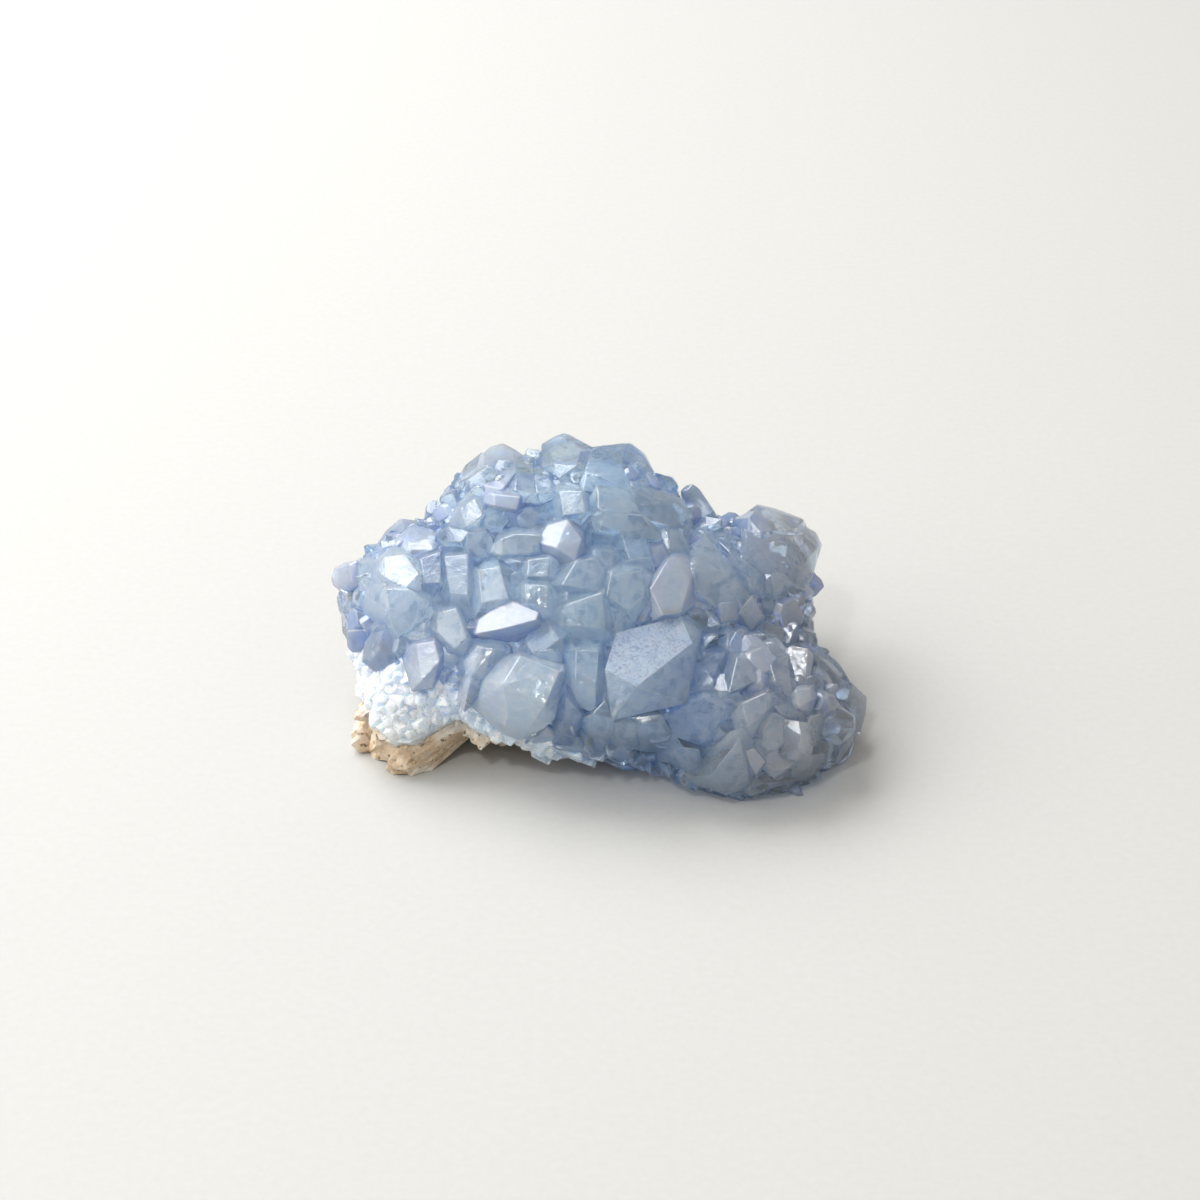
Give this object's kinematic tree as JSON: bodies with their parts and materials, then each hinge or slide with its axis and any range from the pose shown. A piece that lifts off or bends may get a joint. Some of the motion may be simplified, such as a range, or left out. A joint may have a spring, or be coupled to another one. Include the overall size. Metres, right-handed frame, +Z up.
{
  "type": "celestite crystal cluster",
  "caption": "Low domed cluster of blocky pale blue celestite crystals, grown together on a curved piece of tan rock, resting on its feet.",
  "frame": {"origin": "on the surface the specimen rests on, under the middle of its box", "axes": "+X to the viewer's right along its longest side, +Y to its back, +Z up"},
  "size_m": [0.0809, 0.0566, 0.0373],
  "materials": {
    "celestite": "clear to milky pale blue, glassy flat faces with bright edges, greyer to the right, white and fine-grained at the lower left",
    "matrix_rock": "dull broken tan rock with cream, grey-green and brown patches"
  },
  "bodies": {
    "root": {"crystals": "celestite", "matrix": "matrix_rock"}
  },
  "joints": []
}
